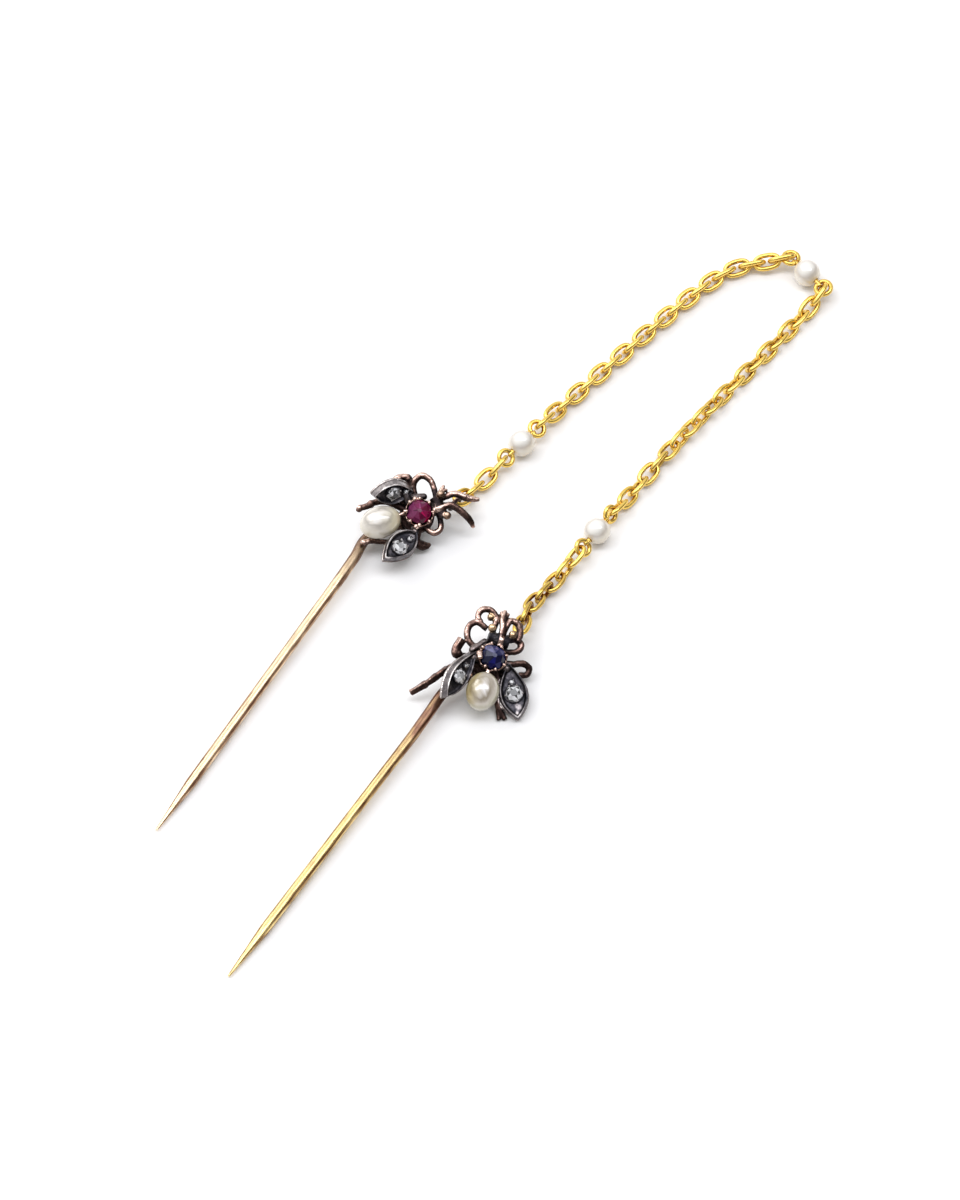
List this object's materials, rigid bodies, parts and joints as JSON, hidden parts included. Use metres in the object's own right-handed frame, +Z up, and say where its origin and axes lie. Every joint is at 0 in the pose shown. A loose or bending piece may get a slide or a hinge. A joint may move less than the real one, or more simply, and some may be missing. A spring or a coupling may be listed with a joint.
{
  "type": "double stick pin",
  "caption": "Double stick pin lying flat: two jewelled flies with pearl bodies on long gold stems, joined by a fine cable chain with pearls.",
  "frame": {"origin": "middle of the bounding box, on the table that the pin lies on", "axes": "+X along the stems from their points to the far bend of the chain, +Z up from the table"},
  "size_m": [0.1098, 0.0282, 0.0061],
  "materials": {
    "rose_gold": "oxidised rose gold, worn bright on the edges",
    "ruby_stem_gold": "drawn pale rose gold wire",
    "sapphire_stem_gold": "drawn green gold wire, coppery at the top",
    "ruby": "cut, deep crimson",
    "sapphire": "cut, deep navy blue",
    "ruby_body_pearl": "pearl, soft lustre",
    "sapphire_body_pearl": "pearl, cream, soft lustre",
    "silver": "oxidised silver with worn bright rims",
    "diamond": "cut, clear grey-white",
    "chain_pearl": "pearl, white",
    "chain_gold": "bright yellow gold wire"
  },
  "bodies": {
    "root": {"ruby_fly_frame": "rose_gold", "ruby_fly_stem": "ruby_stem_gold", "ruby": "ruby", "ruby_fly_body_pearl": "ruby_body_pearl", "ruby_fly_wing_left": "silver", "ruby_fly_wing_right": "silver", "ruby_fly_diamonds_left": "diamond", "ruby_fly_diamonds_right": "diamond", "sapphire_fly_frame": "rose_gold", "sapphire_fly_stem": "sapphire_stem_gold", "sapphire": "sapphire", "sapphire_fly_body_pearl": "sapphire_body_pearl", "sapphire_fly_wing_left": "silver", "sapphire_fly_wing_right": "silver", "sapphire_fly_diamonds_left": "diamond", "sapphire_fly_diamonds_right": "diamond", "chain": "chain_gold", "chain_pearl_1": "chain_pearl", "chain_pearl_2": "chain_pearl", "chain_pearl_3": "chain_pearl", "chain_eye_wire_1": "chain_gold", "chain_eye_wire_2": "chain_gold", "chain_eye_wire_3": "chain_gold"}
  },
  "joints": []
}
